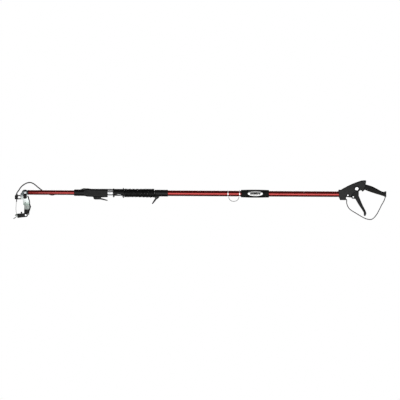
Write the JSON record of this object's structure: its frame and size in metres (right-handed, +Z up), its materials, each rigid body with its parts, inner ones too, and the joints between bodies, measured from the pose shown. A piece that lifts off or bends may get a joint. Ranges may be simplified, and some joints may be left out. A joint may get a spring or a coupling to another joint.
{
  "type": "telescoping cable-operated pole",
  "caption": "Telescoping pole with a squeeze-lever handle, cam locks, a coiled sheathed cable and a tilting clamp head whose arm the cable pulls.",
  "frame": {"origin": "on the pole's axis, at the middle of the foam grip", "axes": "+X along the pole towards the squeeze handle, +Z up with the squeeze lever and the head hanging down, -Y is the front, where the knob and the badge are"},
  "size_m": [2.2876, 0.062, 0.2501],
  "materials": {
    "red_tube": "red anodised aluminium tube, smooth and glossy",
    "bare_tube": "bare drawn aluminium tube, satin",
    "black_plastic": "black moulded plastic with a fine texture",
    "grip_rubber": "soft black moulded rubber",
    "foam": "black closed-cell foam",
    "cable_sheath": "black plastic cable sheath",
    "wire": "bare stranded steel wire",
    "bright_steel": "bright plated steel",
    "dark_steel": "blackened steel",
    "guard_steel": "bent steel rod with a grey finish",
    "zinc_plate": "zinc-plated sheet steel, pale and slightly green",
    "bush_metal": "sintered bronze bush",
    "guide_nylon": "black nylon guide ring",
    "badge": "white printed oval plaque with plain dark bars"
  },
  "bodies": {
    "handle": {"housing_left": "black_plastic", "housing_right": "black_plastic", "rear_grip": "grip_rubber", "grip_end_cap": "black_plastic", "hand_guard": "guard_steel", "housing_screw_front": "bright_steel", "housing_screw_rear": "dark_steel", "pivot_bolt": "bright_steel", "pivot_nut": "bright_steel", "return_spring": "bright_steel", "handle_inner_wire": "wire", "outer_tube": "red_tube", "foam_grip": "foam", "grip_badge": "badge", "hose_clip_band_front": "bright_steel", "hose_clip_band_rear": "bright_steel", "lower_lock_collar": "black_plastic", "lower_lock_pin": "bright_steel", "lower_lock_pad": "grip_rubber", "cable_adjuster": "bright_steel", "lower_cable": "cable_sheath", "cable_saddle": "black_plastic", "cable_coil": "cable_sheath"},
    "trigger": {"squeeze_lever": "black_plastic", "lever_bush": "bush_metal", "cable_anchor_pin": "bright_steel"},
    "lower_lever": {"lower_lock_lever": "black_plastic"},
    "middle": {"middle_tube": "bare_tube", "middle_tube_bush": "guide_nylon", "coil_stop": "black_plastic", "upper_lock_body": "black_plastic", "upper_lock_pin": "bright_steel", "upper_lock_pad": "grip_rubber", "middle_cable": "cable_sheath"},
    "upper_lever": {"upper_lock_lever": "black_plastic"},
    "top": {"top_tube": "red_tube", "top_tube_bush": "guide_nylon", "pole_end_plug": "black_plastic", "tilt_bolt": "bright_steel", "tilt_nut": "bright_steel", "head_cable": "cable_sheath", "top_cable_saddle": "black_plastic"},
    "head": {"head_plate_front": "zinc_plate", "head_plate_rear": "zinc_plate", "cable_stop": "black_plastic", "sheath_ferrule": "dark_steel", "strap_leg": "black_plastic", "clamp_jaw": "zinc_plate", "jaw_screw": "bright_steel", "pivot_block": "grip_rubber", "arm_pivot_bolt": "bright_steel", "head_inner_wire": "wire"},
    "knob": {"clamp_knob": "black_plastic"},
    "arm": {"puller_arm": "black_plastic", "push_peg": "grip_rubber", "wire_clamp": "zinc_plate", "wire_clamp_screw": "dark_steel", "wire_tail": "bright_steel"},
    "clip_bail": {"hose_clip_bail": "bright_steel"},
    "stop_bail": {"coil_stop_bail": "bright_steel"}
  },
  "joints": [
    {"name": "trigger_squeeze", "type": "hinge", "parent": "handle", "child": "trigger", "pos_m": [0.6238, 0, 0.0346], "axis": [0, -1, 0], "range_deg": [0, 22], "stiffness_Nm_per_rad": 3, "springref_deg": -20.05, "deforming": ["handle_inner_wire"]},
    {"name": "lower_extension", "type": "slide", "parent": "handle", "child": "middle", "axis": [-1, 0, 0], "range_m": [0, 0.72], "deforming": ["cable_coil"]},
    {"name": "upper_extension", "type": "slide", "parent": "middle", "child": "top", "axis": [-1, 0, 0], "range_m": [0, 0.65]},
    {"name": "head_tilt", "type": "hinge", "parent": "top", "child": "head", "pos_m": [-1.4116, 0, -0.003], "axis": [0, 1, 0], "range_deg": [0, 60], "deforming": ["head_cable"]},
    {"name": "puller_arm_swing", "type": "hinge", "parent": "head", "child": "arm", "pos_m": [-1.406, 0, -0.139], "axis": [0, 1, 0], "range_deg": [0, 21], "deforming": ["head_inner_wire"]},
    {"name": "clamp_knob_turn", "type": "hinge", "parent": "head", "child": "knob", "pos_m": [-1.41, 0, -0.0237], "axis": [0, 1, 0], "range_deg": [-180, 180]},
    {"name": "lower_lock_flip", "type": "hinge", "parent": "handle", "child": "lower_lever", "pos_m": [-0.603, 0, -0.0275], "axis": [0, 1, 0], "range_deg": [-120, 0]},
    {"name": "upper_lock_flip", "type": "hinge", "parent": "middle", "child": "upper_lever", "pos_m": [-0.968, 0, -0.031], "axis": [0, 1, 0], "range_deg": [-6, 105]},
    {"name": "hose_clip_bail_swing", "type": "hinge", "parent": "handle", "child": "clip_bail", "pos_m": [-0.1658, 0, -0.022], "axis": [1, 0, 0], "range_deg": [-115, 115]},
    {"name": "coil_stop_bail_swing", "type": "hinge", "parent": "middle", "child": "stop_bail", "pos_m": [-0.868, 0, -0.0245], "axis": [1, 0, 0], "range_deg": [0, 252]}
  ],
  "couplings": [
    {"joint": "puller_arm_swing", "follows": "trigger_squeeze", "ratio": 0.95}
  ]
}
